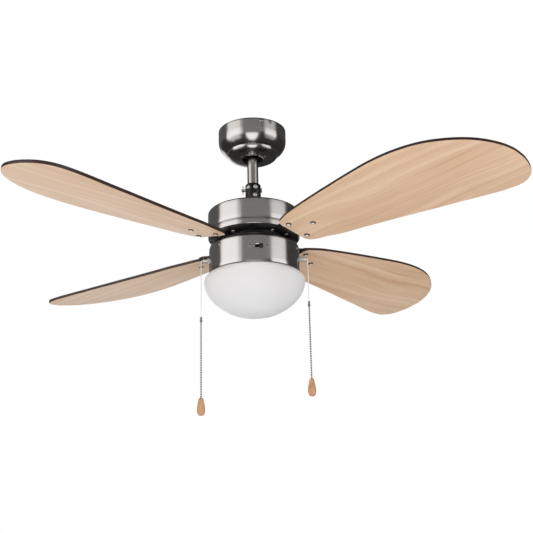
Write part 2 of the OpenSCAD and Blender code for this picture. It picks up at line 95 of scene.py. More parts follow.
def material(name):
    mat = bpy.data.materials.new(name)
    mat.use_nodes = True
    nt = mat.node_tree
    nt.nodes.clear()
    out = nt.nodes.new("ShaderNodeOutputMaterial")
    bsdf = nt.nodes.new("ShaderNodeBsdfPrincipled")
    nt.links.new(bsdf.outputs[0], out.inputs["Surface"])
    return mat, nt, bsdf


def node(nt, kind, inputs=None, **props):
    n = nt.nodes.new(kind)
    for k, v in props.items():
        setattr(n, k, v)
    for k, v in (inputs or {}).items():
        if isinstance(v, bpy.types.NodeSocket):
            nt.links.new(v, n.inputs[k])
        else:
            n.inputs[k].default_value = v
    return n


def math_node(nt, op, a, b=None, c=None):
    n = nt.nodes.new("ShaderNodeMath")
    n.operation = op
    for i, v in enumerate((a, b, c)):
        if v is None:
            continue
        if isinstance(v, bpy.types.NodeSocket):
            nt.links.new(v, n.inputs[i])
        else:
            n.inputs[i].default_value = v
    return n.outputs[0]


def ramp(nt, fac, stops, interp="LINEAR"):
    n = nt.nodes.new("ShaderNodeValToRGB")
    n.color_ramp.interpolation = interp
    els = n.color_ramp.elements
    while len(els) > 1:
        els.remove(els[0])
    els[0].position, els[0].color = stops[0][0], (*stops[0][1], 1)
    for p, c in stops[1:]:
        e = els.new(p)
        e.color = (*c, 1)
    nt.links.new(fac, n.inputs[0])
    return n.outputs[0]


def obj_coords(nt):
    return nt.nodes.new("ShaderNodeTexCoord").outputs["Object"]


def stretched(nt, vec, scale):
    return node(nt, "ShaderNodeMapping", {"Vector": vec, "Scale": scale}).outputs[0]


def noise(nt, vec, scale, detail=3.0, rough=0.5, distort=0.0):
    n = node(nt, "ShaderNodeTexNoise", {"Vector": vec, "Scale": scale, "Detail": detail, "Roughness": rough, "Distortion": distort})
    return n.outputs["Fac"]


def bump(nt, height, strength, distance, normal=None):
    ins = {"Height": height, "Strength": strength, "Distance": distance}
    if normal is not None:
        ins["Normal"] = normal
    return node(nt, "ShaderNodeBump", ins).outputs[0]


def around(nt):
    """Cylindrical coordinates about the fan's axis: (angle in turns, radius, height), in metres."""
    xyz = node(nt, "ShaderNodeSeparateXYZ", {"Vector": obj_coords(nt)})
    ang = math_node(nt, "ARCTAN2", xyz.outputs[1], xyz.outputs[0])
    r = math_node(nt, "SQRT", math_node(nt, "ADD", math_node(nt, "MULTIPLY", xyz.outputs[0], xyz.outputs[0]), math_node(nt, "MULTIPLY", xyz.outputs[1], xyz.outputs[1])))
    return ang, r, xyz.outputs[2]


# ---------------------------------------------------------------- materials

def brushed_nickel(name, base=(0.62, 0.60, 0.585), rough=0.22, aniso=0.7, lines=1.0):
    mat, nt, b = material(name)
    ang, r, z = around(nt)
    # brush lines run round the body: fine across the height, long along the turn
    vec = node(nt, "ShaderNodeCombineXYZ", {0: math_node(nt, "MULTIPLY", ang, 1.6), 1: math_node(nt, "MULTIPLY", r, 2600.0), 2: math_node(nt, "MULTIPLY", z, 3800.0)}).outputs[0]
    fine = noise(nt, vec, 1.0, 2.0, 0.55)
    vec2 = node(nt, "ShaderNodeCombineXYZ", {0: math_node(nt, "MULTIPLY", ang, 0.5), 1: math_node(nt, "MULTIPLY", r, 500.0), 2: math_node(nt, "MULTIPLY", z, 800.0)}).outputs[0]
    broad = noise(nt, vec2, 1.0, 2.0, 0.5)
    mixed = math_node(nt, "ADD", math_node(nt, "MULTIPLY", fine, 0.65), math_node(nt, "MULTIPLY", broad, 0.35))
    d = tuple(c * 0.92 for c in base)
    l = tuple(min(1.0, c * 1.08) for c in base)
    nt.links.new(ramp(nt, mixed, [(0.30, d), (0.70, l)]), b.inputs["Base Color"])
    rr = node(nt, "ShaderNodeMapRange", {"Value": mixed, "From Min": 0.3, "From Max": 0.7, "To Min": rough * 0.94, "To Max": rough * 1.06}).outputs[0]
    nt.links.new(rr, b.inputs["Roughness"])
    b.inputs["Metallic"].default_value = 1.0
    b.inputs["Anisotropic"].default_value = aniso
    b.inputs["Anisotropic Rotation"].default_value = 0.25
    tangent = node(nt, "ShaderNodeTangent", direction_type="RADIAL", axis="Z")
    nt.links.new(tangent.outputs[0], b.inputs["Tangent"])
    nt.links.new(bump(nt, mixed, 0.45 * lines, 0.000008), b.inputs["Normal"])
    return mat


def plain_metal(name, base, rough, grain=400.0, rvar=0.06, bumpy=0.05, metallic=1.0):
    mat, nt, b = material(name)
    f = noise(nt, obj_coords(nt), grain, 4.0, 0.6)
    d = tuple(c * 0.88 for c in base)
    l = tuple(min(1.0, c * 1.08) for c in base)
    nt.links.new(ramp(nt, f, [(0.3, d), (0.7, l)]), b.inputs["Base Color"])
    rr = node(nt, "ShaderNodeMapRange", {"Value": f, "From Min": 0.3, "From Max": 0.7, "To Min": max(0.02, rough - rvar), "To Max": rough + rvar}).outputs[0]
    nt.links.new(rr, b.inputs["Roughness"])
    b.inputs["Metallic"].default_value = metallic
    if bumpy:
        nt.links.new(bump(nt, f, bumpy, 0.0002), b.inputs["Normal"])
    return mat


def enamel(name, base, rough=0.34, coat=0.25, orange=0.12):
    mat, nt, b = material(name)
    co = obj_coords(nt)
    f = noise(nt, co, 900.0, 2.0, 0.5)
    g = noise(nt, co, 60.0, 3.0, 0.5)
    d = tuple(c * 0.8 for c in base)
    l = tuple(min(1.0, c * 1.25) for c in base)
    nt.links.new(ramp(nt, g, [(0.3, d), (0.7, l)]), b.inputs["Base Color"])
    rr = node(nt, "ShaderNodeMapRange", {"Value": g, "From Min": 0.3, "From Max": 0.7, "To Min": rough - 0.05, "To Max": rough + 0.06}).outputs[0]
    nt.links.new(rr, b.inputs["Roughness"])
    b.inputs["Coat Weight"].default_value = coat
    b.inputs["Coat Roughness"].default_value = 0.18
    nt.links.new(bump(nt, f, orange, 0.00012), b.inputs["Normal"])
    return mat


def plastic(name, base, rough=0.42, tex=0.12):
    mat, nt, b = material(name)
    co = obj_coords(nt)
    f = noise(nt, co, 2200.0, 2.0, 0.5)
    g = noise(nt, co, 90.0, 2.0, 0.5)
    d = tuple(c * 0.93 for c in base)
    l = tuple(min(1.0, c * 1.05) for c in base)
    nt.links.new(ramp(nt, g, [(0.3, d), (0.7, l)]), b.inputs["Base Color"])
    b.inputs["Roughness"].default_value = rough
    nt.links.new(bump(nt, f, tex, 0.00008), b.inputs["Normal"])
    return mat


def opal(name, base=(0.76, 0.76, 0.775)):
    mat, nt, b = material(name)
    co = obj_coords(nt)
    g = noise(nt, co, 9.0, 3.0, 0.5)
    d = tuple(c * 0.985 for c in base)
    l = tuple(min(1.0, c * 1.01) for c in base)
    nt.links.new(ramp(nt, g, [(0.3, d), (0.7, l)]), b.inputs["Base Color"])
    f = noise(nt, co, 1800.0, 2.0, 0.5)
    rr = node(nt, "ShaderNodeMapRange", {"Value": f, "From Min": 0.3, "From Max": 0.7, "To Min": 0.44, "To Max": 0.52}).outputs[0]
    nt.links.new(rr, b.inputs["Roughness"])
    b.inputs["Subsurface Weight"].default_value = 0.35
    b.inputs["Subsurface Radius"].default_value = (0.012, 0.012, 0.012)
    b.inputs["Subsurface Scale"].default_value = 1.0
    nt.links.new(bump(nt, f, 0.03, 0.0001), b.inputs["Normal"])
    return mat


def veneer(name, light, mid, dark, seed, along="X", fine=1.0, rough=0.42, gloss=0.12):
    """Sliced veneer: long soft streaks, a slow drift of colour, cathedral arches and short dark pores, all along the blade."""
    mat, nt, b = material(name)
    uv = node(nt, "ShaderNodeUVMap", uv_map="grain").outputs[0]
    co = node(nt, "ShaderNodeMapping", {"Vector": uv, "Location": (seed * 0.37, seed * 0.113, 0)}).outputs[0]
    warp = noise(nt, stretched(nt, co, (2.2, 7.0, 1.0)), 1.0, 2.0, 0.5)
    xyz = node(nt, "ShaderNodeSeparateXYZ", {"Vector": co})
    yy = math_node(nt, "ADD", xyz.outputs[1], math_node(nt, "MULTIPLY", math_node(nt, "SUBTRACT", warp, 0.5), 0.085))
    v = node(nt, "ShaderNodeCombineXYZ", {0: xyz.outputs[0], 1: yy, 2: xyz.outputs[2]}).outputs[0]
    # growth rings cut lengthwise
    rings = noise(nt, stretched(nt, v, (1.3, 62.0, 1.0)), 1.0, 3.0, 0.62)
    streak = noise(nt, stretched(nt, v, (5.0, 260.0, 1.0)), 1.0, 3.0, 0.6)
    pores = noise(nt, stretched(nt, v, (26.0, 900.0, 1.0)), 1.0, 2.0, 0.5)
    drift = noise(nt, stretched(nt, co, (2.4, 5.0, 1.0)), 1.0, 2.0, 0.5)
    s = math_node(nt, "ADD", math_node(nt, "MULTIPLY", rings, 0.50), math_node(nt, "ADD", math_node(nt, "MULTIPLY", streak, 0.20), math_node(nt, "MULTIPLY", drift, 0.30)))
    col = ramp(nt, s, [(0.36, dark), (0.46, mid), (0.60, light)], "EASE")
    pore_dark = node(nt, "ShaderNodeMapRange", {"Value": pores, "From Min": 0.30, "From Max": 0.40, "To Min": 0.86, "To Max": 1.0}).outputs[0]
    mix = node(nt, "ShaderNodeMix", {"Factor": 1.0}, data_type="RGBA", blend_type="MULTIPLY")
    nt.links.new(col, mix.inputs["A"])
    grey = node(nt, "ShaderNodeCombineColor", {0: pore_dark, 1: pore_dark, 2: pore_dark}).outputs[0]
    nt.links.new(grey, mix.inputs["B"])
    nt.links.new(mix.outputs["Result"], b.inputs["Base Color"])
    rr = node(nt, "ShaderNodeMapRange", {"Value": streak, "From Min": 0.3, "From Max": 0.7, "To Min": rough + 0.06, "To Max": rough - 0.05}).outputs[0]
    nt.links.new(rr, b.inputs["Roughness"])
    b.inputs["Coat Weight"].default_value = gloss
    b.inputs["Coat Roughness"].default_value = 0.3
    nt.links.new(bump(nt, math_node(nt, "ADD", pores, math_node(nt, "MULTIPLY", streak, 0.5)), 0.10 * fine, 0.000012), b.inputs["Normal"])
    return mat


def turned_wood(name):
    mat, nt, b = material(name)
    co = obj_coords(nt)
    v = stretched(nt, co, (420.0, 420.0, 34.0))
    f = noise(nt, v, 1.0, 4.0, 0.62, 0.6)
    col = ramp(nt, f, [(0.30, (0.30, 0.135, 0.065)), (0.48, (0.50, 0.255, 0.135)), (0.66, (0.66, 0.38, 0.22))], "EASE")
    nt.links.new(col, b.inputs["Base Color"])
    b.inputs["Roughness"].default_value = 0.38
    b.inputs["Coat Weight"].default_value = 0.35
    b.inputs["Coat Roughness"].default_value = 0.22
    nt.links.new(bump(nt, f, 0.08, 0.0002), b.inputs["Normal"])
    return mat


def braid(name):
    mat, nt, b = material(name)
    co = obj_coords(nt)
    w = node(nt, "ShaderNodeTexWave", {"Vector": co, "Scale": 190.0, "Distortion": 0.4, "Detail": 1.0}, bands_direction="DIAGONAL").outputs["Fac"]
    col = ramp(nt, w, [(0.2, (0.66, 0.65, 0.63)), (0.8, (0.88, 0.87, 0.85))])
    nt.links.new(col, b.inputs["Base Color"])
    b.inputs["Roughness"].default_value = 0.7
    b.inputs["Sheen Weight"].default_value = 0.2
    nt.links.new(bump(nt, w, 0.4, 0.0002), b.inputs["Normal"])
    return mat


def laminations(name):
    mat, nt, b = material(name)
    xyz = node(nt, "ShaderNodeSeparateXYZ", {"Vector": obj_coords(nt)})
    s = math_node(nt, "SINE", math_node(nt, "MULTIPLY", xyz.outputs[2], 2 * math.pi / 0.0005))
    n = noise(nt, obj_coords(nt), 300.0, 3.0, 0.6)
    col = ramp(nt, n, [(0.3, (0.16, 0.16, 0.17)), (0.7, (0.26, 0.26, 0.275))])
    nt.links.new(col, b.inputs["Base Color"])
    b.inputs["Metallic"].default_value = 0.9
    b.inputs["Roughness"].default_value = 0.45
    nt.links.new(bump(nt, s, 0.4, 0.0001), b.inputs["Normal"])
    return mat


def copper(name):
    mat, nt, b = material(name)
    ang, r, z = around(nt)
    s = math_node(nt, "SINE", math_node(nt, "ADD", math_node(nt, "MULTIPLY", r, 2 * math.pi / 0.0008), math_node(nt, "MULTIPLY", z, 2 * math.pi / 0.0008)))
    n = noise(nt, obj_coords(nt), 500.0, 3.0, 0.6)
    col = ramp(nt, n, [(0.3, (0.42, 0.16, 0.06)), (0.7, (0.62, 0.27, 0.12))])
    nt.links.new(col, b.inputs["Base Color"])
    b.inputs["Metallic"].default_value = 0.85
    b.inputs["Roughness"].default_value = 0.32
    nt.links.new(bump(nt, s, 0.6, 0.0003), b.inputs["Normal"])
    return mat


M = {
    "nickel": brushed_nickel("brushed_nickel"),
    # a darker copy of the brushed nickel, painted shade, used on the downrod and the small nickel screws
    "nickel_shaded": brushed_nickel("brushed_nickel_shaded_copy", (0.50, 0.485, 0.47), rough=0.22, aniso=0.5, lines=0.6),
    "black": enamel("black_enamel", (0.005, 0.005, 0.0052), 0.40, 0.06),
    "arm_black": enamel("black_arm_enamel", (0.010, 0.010, 0.0105), rough=0.42, coat=0.1, orange=0.2),
    "zinc": plain_metal("zinc_plate", (0.60, 0.60, 0.59), 0.36, 160.0, 0.1),
    "screw": plain_metal("bright_screw", (0.86, 0.84, 0.80), 0.30, 500.0, 0.04, 0.02, 0.72),
    "dome": plain_metal("screw_dome", (0.97, 0.95, 0.90), 0.30, 500.0, 0.04, 0.02, 0.15),
    # dark brown ring at the edge of each blade screw dome: painted shade and a painted reflection of the wood round the
    # head
    "dome_painted_shade": plain_metal("screw_dome_painted_shade", (0.075, 0.045, 0.032), 0.42, 500.0, 0.04, 0.02, 0.3),
    "bead": plain_metal("bead_nickel", (0.40, 0.39, 0.375), 0.2, 700.0, 0.05, 0.02),
    "alu": plain_metal("cast_aluminium", (0.52, 0.53, 0.54), 0.5, 900.0, 0.08, 0.25),
    "steel": plain_metal("bearing_steel", (0.66, 0.66, 0.67), 0.14, 300.0, 0.03, 0.0),
    "lam": laminations("laminations"),
    "copper": copper("copper_winding"),
    "white_plastic": plastic("white_plastic", (0.76, 0.75, 0.71)),
    "black_plastic": plastic("black_plastic", (0.014, 0.014, 0.015), 0.36),
    "white_enamel": enamel("white_enamel", (0.72, 0.72, 0.71), 0.3, 0.3, 0.05),
    "porcelain": plastic("porcelain", (0.78, 0.775, 0.75), 0.16, 0.02),
    "opal": opal("opal_glass"),
    "bulb": opal("bulb_glass", (0.82, 0.82, 0.80)),
    "knob": turned_wood("knob_wood"),
    "string": braid("white_string"),
    "edge": enamel("blade_edge_band", (0.030, 0.015, 0.011), 0.45, 0.05, 0.1),
}
MAPLE = [veneer(f"maple_veneer_{k + 1}", (0.76, 0.56, 0.40), (0.67, 0.455, 0.30), (0.55, 0.335, 0.20), 3.1 * k + 1) for k in range(4)]
WALNUT = [veneer(f"dark_veneer_{k + 1}", (0.085, 0.045, 0.028), (0.055, 0.028, 0.017), (0.028, 0.014, 0.009), 2.3 * k + 7, rough=0.38, gloss=0.25) for k in range(4)]


# ---------------------------------------------------------------- mesh helpers

def mesh_object(name, verts, faces, mats, mat_index=None, sharp=32.0, matrix=None):
    me = bpy.data.meshes.new(name)
    me.from_pydata([tuple(v) for v in verts], [], [tuple(f) for f in faces])
    me.validate()
    for mt in (mats if isinstance(mats, (list, tuple)) else [mats]):
        me.materials.append(mt)
    if mat_index is not None:
        me.polygons.foreach_set("material_index", mat_index)
    shade(me, sharp)
    o = bpy.data.objects.new(name, me)
    scene.collection.objects.link(o)
    if matrix is not None:
        o.matrix_world = matrix
    return o


def shade(me, sharp=32.0):
    bm = bmesh.new()
    bm.from_mesh(me)
    bmesh.ops.recalc_face_normals(bm, faces=bm.faces)
    for f in bm.faces:
        f.smooth = True
    lim = math.radians(sharp)
    for e in bm.edges:
        e.smooth = not (len(e.link_faces) == 2 and e.calc_face_angle(0.0) > lim)
    bm.to_mesh(me)
    bm.free()
    me.update()


def lathe_data(profile, n=128, closed=True):
    """Verts (in metres) and faces of a profile in mm turned about Z. A point at radius 0 becomes a pole."""
    verts, faces, rings = [], [], []
    for r, z in profile:
        if r < 1e-6:
            rings.append([len(verts)])
            verts.append((0, 0, z * MM))
        else:
            rings.append(list(range(len(verts), len(verts) + n)))
            for i in range(n):
                a = 2 * math.pi * i / n
                verts.append((r * math.cos(a) * MM, r * math.sin(a) * MM, z * MM))
    k = len(rings)
    for j in range(k if closed else k - 1):
        a, b = rings[j], rings[(j + 1) % k]
        if len(a) == 1 and len(b) == 1:
            continue
        for i in range(n):
            i2 = (i + 1) % n
            if len(a) == 1:
                faces.append((a[0], b[i], b[i2]))
            elif len(b) == 1:
                faces.append((a[i], b[0], a[i2]))
            else:
                faces.append((a[i], b[i], b[i2], a[i2]))
    return verts, faces


def lathe(name, profile, mat, n=128, closed=True, sharp=32.0, centre=(0, 0, 0)):
    v, f = lathe_data(profile, n, closed)
    v = [(x + centre[0] * MM, y + centre[1] * MM, z + centre[2] * MM) for x, y, z in v]
    return mesh_object(name, v, f, mat, sharp=sharp)


def cr(p, n):
    out = []
    for i in range(len(p) - 1):
        a, b, c, d = p[max(i - 1, 0)], p[i], p[i + 1], p[min(i + 2, len(p) - 1)]
        for k in range(n):
            t = k / n
            out.append(tuple(0.5 * (2 * b[j] + (c[j] - a[j]) * t + (2 * a[j] - 5 * b[j] + 4 * c[j] - d[j]) * t * t + (3 * b[j] - a[j] - 3 * c[j] + d[j]) * t ** 3) for j in range(len(b))))
    out.append(tuple(p[-1]))
    return out


def side(p, t):
    out = []
    for i in range(len(p)):
        a, b = p[max(i - 1, 0)], p[min(i + 1, len(p) - 1)]
        dx, dy = b[0] - a[0], b[1] - a[1]
        d = math.hypot(dx, dy)
        out.append((max(0.0, p[i][0] + t * dy / d), p[i][1] - t * dx / d))
    return out


def boolean_cut(obj, cutters, op="DIFFERENCE"):
    for c in cutters:
        md = obj.modifiers.new("cut", "BOOLEAN")
        md.operation = op
        md.solver = "EXACT"
        md.object = c
    bake(obj)
    for c in cutters:
        bpy.data.objects.remove(c)


def bake(obj):
    """Applies obj's modifiers to its mesh."""
    dg = bpy.context.evaluated_depsgraph_get()
    dg.update()
    ev = obj.evaluated_get(dg)
    me = bpy.data.meshes.new_from_object(ev, preserve_all_data_layers=True, depsgraph=dg)
    obj.modifiers.clear()
    old = obj.data
    obj.data = me
    me.name = obj.name
    bpy.data.meshes.remove(old)


def cylinder(name, r, h, matrix, n=32):
    """A closed cutter from z = 0 to h in its own frame (mm)."""
    v, f = lathe_data([(0, 0), (r, 0), (r, h), (0, h)], n, closed=False)
    return mesh_object(name, v, f, [], matrix=matrix)


def block(name, lo, hi, matrix):
    v = [(x * MM, y * MM, z * MM) for x in (lo[0], hi[0]) for y in (lo[1], hi[1]) for z in (lo[2], hi[2])]
    f = [(0, 1, 3, 2), (4, 6, 7, 5), (0, 4, 5, 1), (2, 3, 7, 6), (0, 2, 6, 4), (1, 5, 7, 3)]
    return mesh_object(name, v, f, [], matrix=matrix)


def at(a, r, z, tilt=True):
    """Frame at azimuth a, radius r and height z (mm): local Z points outward when tilt, else up."""
    mt = Matrix.Rotation(math.radians(a), 4, "Z") @ Matrix.Translation((r * MM, 0, z * MM))
    return mt @ Matrix.Rotation(math.radians(90), 4, "Y") if tilt else mt


def on_blade(k):
    return (Matrix.Rotation(math.radians(ARM_AZ + 90 * k), 4, "Z") @ Matrix.Translation((0, 0, BLADE_Z * MM))
            @ Matrix.Rotation(math.radians(-(CONE + TRIM[k][1])), 4, "Y") @ Matrix.Rotation(math.radians(-(PITCH + TRIM[k][0])), 4, "X"))


FLIP = Matrix.Rotation(math.pi, 4, "X")


def joined(name, parts, mat, idx=None):
    """One object from (verts, faces, matrix) pieces. idx gives one piece's material index per face."""
    verts, faces, slots = [], [], []
    for v, f, mt in parts:
        base = len(verts)
        verts += [tuple(mt @ Vector(p)) for p in v]
        faces += [tuple(i + base for i in q) for q in f]
        slots += idx or [0] * len(f)
    return mesh_object(name, verts, faces, mat, slots)


def screw_template(head_r, head_h, shank_r, length, cross=True):
    """Domed head on the plane z = 0 with a cross recess, and a threaded shank down to -length. Returns verts and faces in metres."""
    dome = [(head_r * math.cos(math.radians(a)), 0.25 + (head_h - 0.25) * math.sin(math.radians(a))) for a in range(0, 90, 9)]
    prof = [(0, 0.0), (head_r - 0.12, 0.0), (head_r, 0.12)] + dome + [(0, head_h)]
    o = lathe("tmp_head", prof, [], n=40, closed=False)
    if cross:
        w, l, dp = head_r * 0.15, head_r * 0.52, head_h * 0.62
        cut = []
        for s in (0, 90):
            mt = Matrix.Rotation(math.radians(s), 4, "Z")
            cut.append(block("tmp_cut", (-l, -w, head_h - dp), (l, w, head_h + 2), mt))
        boolean_cut(o, cut)
    v = [tuple(p.co) for p in o.data.vertices]
    f = [tuple(p.vertices) for p in o.data.polygons]
    bpy.data.objects.remove(o)
    turns = max(3, int(length / 0.7))
    th = [(shank_r, 0.05)]
    for i in range(turns):
        z0 = -length * i / turns
        p = length / turns
        th += [(shank_r, z0 - 0.1 * p), (shank_r * 0.82, z0 - 0.5 * p), (shank_r, z0 - 0.9 * p)]
    th += [(shank_r * 0.7, -length), (0, -length)]
    sv, sf = lathe_data([(0, 0.05)] + th, 20, closed=False)
    base = len(v)
    v += sv
    f += [tuple(i + base for i in q) for q in sf]
    return v, f


def bevelled(node_name, mat, width=0.5, segments=2, name=None, angle=28.0):
    """A finished copy of a CAD node: flat faces are rejoined and every edge gets a small real radius."""
    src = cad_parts[node_name]
    me = src.data.copy()
    me.name = name or node_name + "_finished"
    bm = bmesh.new()
    bm.from_mesh(me)
    bmesh.ops.remove_doubles(bm, verts=bm.verts, dist=2e-6)
    bmesh.ops.dissolve_limit(bm, angle_limit=math.radians(1.2), verts=bm.verts, edges=bm.edges)
    bm.to_mesh(me)
    bm.free()
    for a in ("custom_normal", "sharp_edge", "sharp_face"):
        if a in me.attributes:
            me.attributes.remove(me.attributes[a])
    me.materials.clear()
    me.materials.append(mat)
    o = bpy.data.objects.new(name or node_name + "_finished", me)
    scene.collection.objects.link(o)
    md = o.modifiers.new("b", "BEVEL")
    md.width = width * MM
    md.segments = segments
    md.limit_method = "ANGLE"
    md.angle_limit = math.radians(angle)
    md.use_clamp_overlap = True
    md.harden_normals = False
    bake(o)
    shade(o.data, 38.0)
    return o


def stand_for(o, body, *nodes):
    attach(o, body)
    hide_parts(*nodes)
    return o


# ---------------------------------------------------------------- pull cords (first, with the camera)

def string_route(l):
    z = CORD_Z
    p = [(84, z), (86, z), (88, z), (90, z)]
    p += [(CORD_X - 3.2 + 3.2 * math.cos(math.radians(a)), z - 3.2 + 3.2 * math.sin(math.radians(a))) for a in range(90, -1, -9)]
    p += [(CORD_X, z - 3.2 - l * i / 30) for i in range(1, 31)]
    return p


def tube(name, route, r, mat, flip, n=16):
    """A round tube in the XZ plane along route (mm)."""
    verts, faces = [], []
    for i, (x, z) in enumerate(route):
        a, b = route[max(i - 1, 0)], route[min(i + 1, len(route) - 1)]
        d = Vector((b[0] - a[0], 0, b[1] - a[1])).normalized()
        u = Vector((0, 1, 0))
        w = d.cross(u)
        for j in range(n):
            t = 2 * math.pi * j / n
            p = Vector((x, 0, z)) + r * (math.cos(t) * u + math.sin(t) * w)
            verts.append((flip * p.x * MM, flip * p.y * MM, p.z * MM))
    for i in range(len(route) - 1):
        for j in range(n):
            faces.append((i * n + j, (i + 1) * n + j, (i + 1) * n + (j + 1) % n, i * n + (j + 1) % n))
    faces.append(tuple(range(n)))
    faces.append(tuple(reversed(range((len(route) - 1) * n, len(route) * n))))
    return mesh_object(name, verts, faces, mat, sharp=50)


def pull(prefix, body, l, beads, flip):
    x = CORD_X * flip
    top = CORD_Z - 3.2 - l
    conn = lathe(prefix + "_bell_connector", [(0, 8.4), (0.9, 8.4), (1.3, 8.2), (1.5, 7.7), (1.9, 7.3), (2.05, 6.6), (2.0, 5.3), (1.55, 4.6), (1.45, 4.2), (1.6, 3.8), (2.15, 3.1), (2.45, 2.2), (2.5, 0.9), (2.3, 0.3), (1.9, 0.0), (0.6, 0.1), (0, 0.4)],
                 M["bead"], n=40, closed=False, sharp=40, centre=(x, 0, top - 8.4))
    stand_for(conn, body, prefix + "_connector")
    # ball chain: hollow beads crimped round short dumb-bell links
    parts = []
    z0 = top - 8.4
    bead = [(0, 1.52), (0.5, 1.5), (0.62, 1.42)] + [(1.6 * math.cos(math.radians(a)), 1.6 * math.sin(math.radians(a))) for a in range(60, -61, -12)] + [(0.62, -1.42), (0.5, -1.5), (0, -1.52)]
    bv, bf = lathe_data(bead, 20, closed=False)
    link = [(0, 0.62), (0.36, 0.6), (0.36, -0.6), (0, -0.62)]
    lv, lf = lathe_data(link, 10, closed=False)
    for i in range(beads):
        parts.append((bv, bf, Matrix.Translation((x * MM, 0, (z0 - 2.1 - BEAD_GAP * i) * MM))))
        if i:
            parts.append((lv, lf, Matrix.Translation((x * MM, 0, (z0 - BEAD_GAP * i) * MM))))
    end, ef = lathe_data([(0, 0.7), (0.36, 0.68), (0.36, 0.0), (0, 0.0)], 10, closed=False)
    parts.append((end, ef, Matrix.Translation((x * MM, 0, (z0 - BEAD_GAP * beads) * MM))))
    ch = joined(prefix + "_ball_chain", parts, M["bead"])
    stand_for(ch, body, prefix + "_chain")
    kz = z0 - BEAD_GAP * beads
    kp = [(0, -2.6), (1.25, -2.6), (1.25, -0.5), (1.5, -0.1), (2.0, 0.0)] + cr([(2.6, -0.02), (3.6, -0.9), (4.7, -5), (5.8, -10.5), (6.6, -16), (6.88, -21), (6.4, -25.5), (5, -28.6), (3, -30.15)], 5) + [(1.6, -30.42), (0, -30.5)]
    kn = lathe(prefix + "_wood_knob", kp, M["knob"], n=64, closed=False, sharp=45, centre=(x, 0, kz))
    stand_for(kn, body, prefix + "_knob")
    route = string_route(l)
    st = tube(prefix + "_pull_string", route, 0.8, M["string"], flip)
    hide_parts(prefix + "_string")
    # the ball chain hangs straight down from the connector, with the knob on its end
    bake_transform(st)
    return st, conn, ch, kn


pull("fan", "fan_pull", FAN_L, FAN_BEADS, 1)
pull("light", "light_pull", LIGHT_L, LIGHT_BEADS, -1)

# ---------------------------------------------------------------- canopy, rod and coupling

R = CANOPY_R
outer = ([(R - 0.35, -0.5), (R - 0.08, -0.62), (R, -0.95), (R, -4), (R, -8), (R, -12), (R, -16)]
         + cr([(R, -21), (R - 1.2, -29), (R - 5.5, -37), (R - 11, -42), (R - 15.5, -44.2)], 10)
         + cr([(R - 15.3, -44.8), (R - 15.7, -47.2), (R - 17.6, -50.4), (R - 21.6, -53.2), (R - 27.5, -54.9), (R - 34, -55.5)], 8)
         + [(26, -55.5), (22, -55.5), (19.4, -55.5), (19.05, -55.3)])
inner = [(19.05, -54.5), (22, -54.3), (28, -54.3)] + cr([(R - 30, -54.0), (R - 24.4, -52.3), (R - 20, -48.9), (R - 17.6, -45.4)], 6) + cr([(R - 16.4, -43.1), (R - 11.6, -40.9), (R - 6.6, -36.3), (R - 2.4, -28.7), (R - 1.2, -21)], 6) + [(R - 1.2, -12), (R - 1.2, -0.6), (R - 1.05, -0.5)]
canopy = lathe("canopy_bell", outer + inner, M["nickel"], n=192, sharp=40)
cuts = [cylinder("c", 1.6, 5, at(a, 24.6, -58, False), 24) for a in (-118, -62, -147, -33, 90)]
boolean_cut(canopy, cuts)
stand_for(canopy, "ceiling_mount", "canopy")

v, f = screw_template(3.4, 2.0, 1.75, 6)
stand_for(joined("canopy_side_screws", [(v, f, at(a + s, R + 0.02, -5.5)) for a in EARS for s in (-7.9, 7.9)], M["nickel_shaded"]), "ceiling_mount", "canopy_screws")

rod = lathe("downrod_tube", [(ROD_R - 0.3, -18), (ROD_R, -18.3), (ROD_R, -40), (ROD_R, -58), (ROD_R, -80), (ROD_R, -100), (ROD_R, -127.7), (ROD_R - 0.3, -128), (ROD_R - 1.6, -128), (ROD_R - 1.6, -18)], M["nickel_shaded"], n=96, sharp=40)
stand_for(rod, "hanging_frame", "downrod")

coup = lathe("rod_coupling", [(ROD_R, -106), (11.6, -106), (12.4, -106.3), (13.7, -108.0), (COUP_R, -108.9), (COUP_R, -120), (COUP_R, -140), (COUP_R, HOUSE_TOP - 1.2), (29.5, HOUSE_TOP - 1.2), (30, HOUSE_TOP - 1.7), (30, HOUSE_TOP - 4.7), (29.5, HOUSE_TOP - 5.2), (7.6, HOUSE_TOP - 5.2), (7.6, -130), (ROD_R, -130)], M["black"], n=96, sharp=40)
stand_for(coup, "hanging_frame", "coupling")
v, f = screw_template(3.9, 2.6, 1.85, 4)
v2, f2 = screw_template(3.9, 2.6, 1.85, 6)
stand_for(joined("coupling_lock_screws", [((v if p[1] > -120 else v2), (f if p[1] > -120 else f2), at(p[0], COUP_R + 0.05, p[1])) for p in COUP_SCREWS], M["screw"]), "hanging_frame", "coupling_screws")

# ---------------------------------------------------------------- housings

mr = MOTOR_R
mh = [(COUP_R + 0.4, HOUSE_TOP), (30, HOUSE_TOP), (60, HOUSE_TOP), (mr - 3, HOUSE_TOP)]
mh += [(mr - 3 + 3 * math.sin(math.radians(a)), HOUSE_TOP - 3 + 3 * math.cos(math.radians(a))) for a in range(10, 91, 10)]
mh += [(mr, -172), (mr, -180), (mr, -190), (mr, -198.9), (mr - 0.12, -199.4), (mr - 0.7, -199.8), (mr - 0.8, -200.2), (mr - 0.7, -200.6), (mr - 0.12, -201), (mr, -201.5), (mr, -206), (mr, -210.1)]
mh += [(mr - 0.95 + 0.95 * math.cos(math.radians(a)), -211.05 - 0.95 * math.sin(math.radians(a))) for a in range(0, 181, 15)][:-2]
mh += [(mr - 1.6, -200), (mr - 1.6, HOUSE_TOP - 3.6), (mr - 3.2, HOUSE_TOP - 1.2), (COUP_R + 0.4, HOUSE_TOP - 1.2)]
motor = lathe("motor_cover", mh, M["nickel"], n=192, sharp=40)
stand_for(motor, "hanging_frame", "motor_housing")

